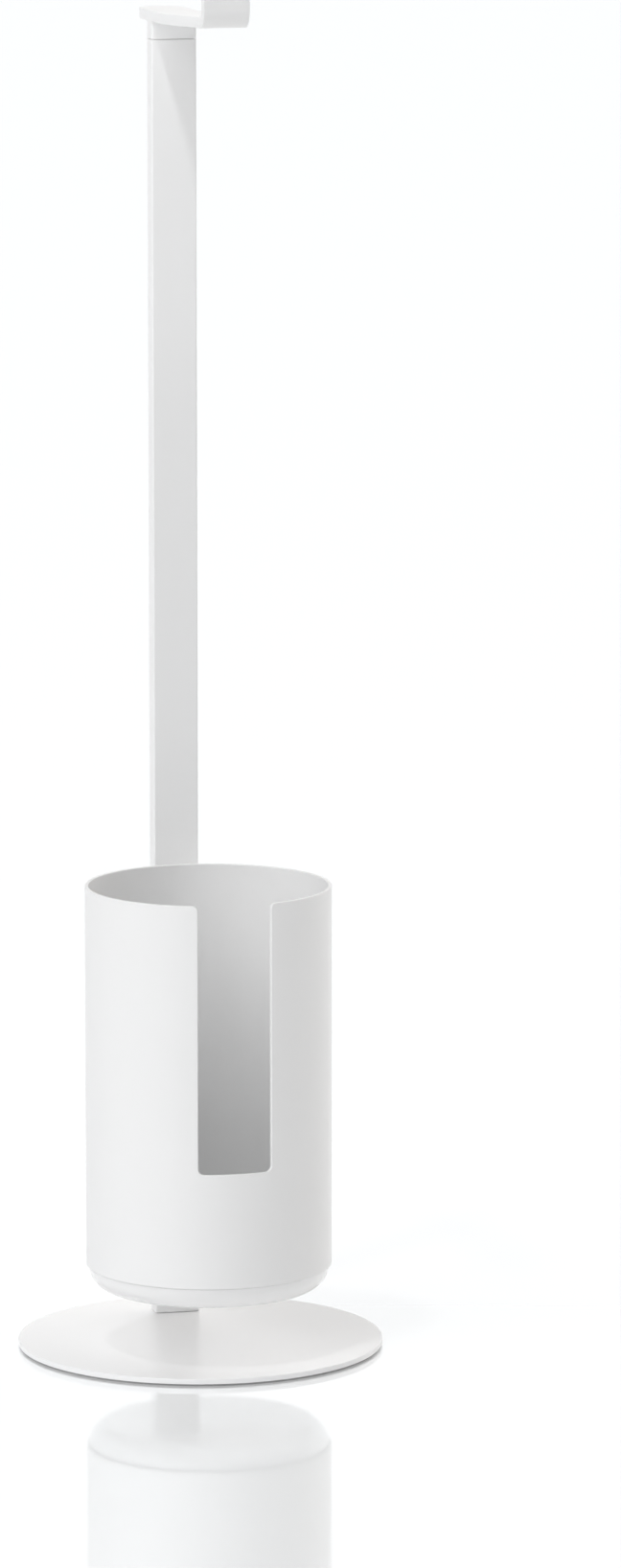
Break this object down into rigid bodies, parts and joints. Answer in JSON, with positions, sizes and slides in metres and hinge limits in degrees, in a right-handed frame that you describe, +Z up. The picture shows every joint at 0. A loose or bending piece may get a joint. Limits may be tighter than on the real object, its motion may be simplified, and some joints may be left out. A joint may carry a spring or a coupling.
{
  "type": "freestanding toilet paper holder",
  "caption": "Round-based floor stand with an L-shaped arm for a toilet roll and a slotted cylindrical canister below that stores spare rolls.",
  "frame": {"origin": "centre of the round base on the floor", "axes": "+Z up along the post, -Y to the front, where the arm points and the canister's slot opens, +X to the right as seen from the front"},
  "size_m": [0.2, 0.2, 0.7616],
  "materials": {
    "powder_coat": "white powder coat, satin, fine orange peel",
    "zinc_steel": "bright zinc plating",
    "rubber_pad": "matt dark rubber sheet",
    "moulded_plastic": "white moulded plastic, fine texture"
  },
  "bodies": {
    "root": {"base_pad": "rubber_pad", "base_plate": "powder_coat", "foot_screw_left": "zinc_steel", "foot_screw_right": "zinc_steel", "post_tube": "powder_coat", "foot_block": "zinc_steel", "arm": "powder_coat", "arm_screw_upper": "zinc_steel", "arm_screw_lower": "zinc_steel", "canister_tube": "powder_coat", "canister_dish": "powder_coat", "canister_spacer_upper": "moulded_plastic", "canister_spacer_lower": "moulded_plastic", "canister_washer_upper": "zinc_steel", "canister_washer_lower": "zinc_steel", "canister_screw_upper": "zinc_steel", "canister_screw_lower": "zinc_steel", "rivet_nut_upper": "zinc_steel", "rivet_nut_lower": "zinc_steel"}
  },
  "joints": []
}
